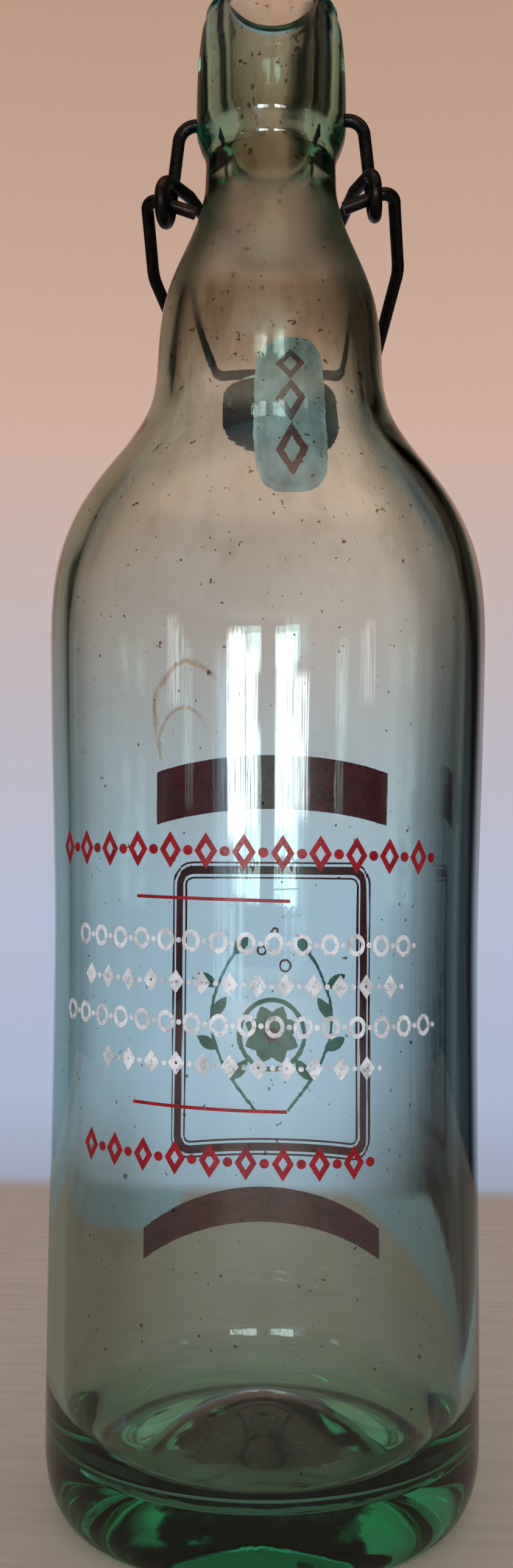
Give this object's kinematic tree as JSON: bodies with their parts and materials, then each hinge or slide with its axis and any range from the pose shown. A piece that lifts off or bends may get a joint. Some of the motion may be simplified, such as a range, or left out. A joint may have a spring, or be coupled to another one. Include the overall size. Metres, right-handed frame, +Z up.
{
  "type": "swing-top soda bottle",
  "caption": "Tall clear glass soda bottle with a bulb in its neck and an open swing-top wire closure whose stopper hangs behind the neck.",
  "frame": {"origin": "centre of the ring that the bottle stands on, on the bottle's own axis", "axes": "+Z up along the bottle's axis, X through the two pivots of the closure, +Y to the side where the open closure hangs"},
  "size_m": [0.0882, 0.1005, 0.3035],
  "materials": {
    "green_glass": "pale aqua-green pressed glass with fired enamel print, thick dark green base",
    "dark_wire": "black-brown oxidised steel wire, worn and a little shiny",
    "glazed_porcelain": "off-white glazed porcelain",
    "dark_rubber": "aged dark rubber"
  },
  "bodies": {
    "bottle": {"bottle": "green_glass"},
    "lever": {"lever_wire": "dark_wire"},
    "bail": {"bail_wire": "dark_wire"},
    "stopper": {"stopper": "glazed_porcelain", "gasket": "dark_rubber"}
  },
  "joints": [
    {"name": "lever_hinge", "type": "hinge", "parent": "bottle", "child": "lever", "pos_m": [0, 0, 0.281], "axis": [1, 0, 0], "range_deg": [0, 95]},
    {"name": "bail_hinge", "type": "hinge", "parent": "lever", "child": "bail", "pos_m": [0, -0.0037, 0.2638], "axis": [1, 0, 0], "range_deg": [0, 100]},
    {"name": "stopper_hinge", "type": "hinge", "parent": "bail", "child": "stopper", "pos_m": [0, 0.04002, 0.23852], "axis": [1, 0, 0], "range_deg": [0, 100]}
  ]
}
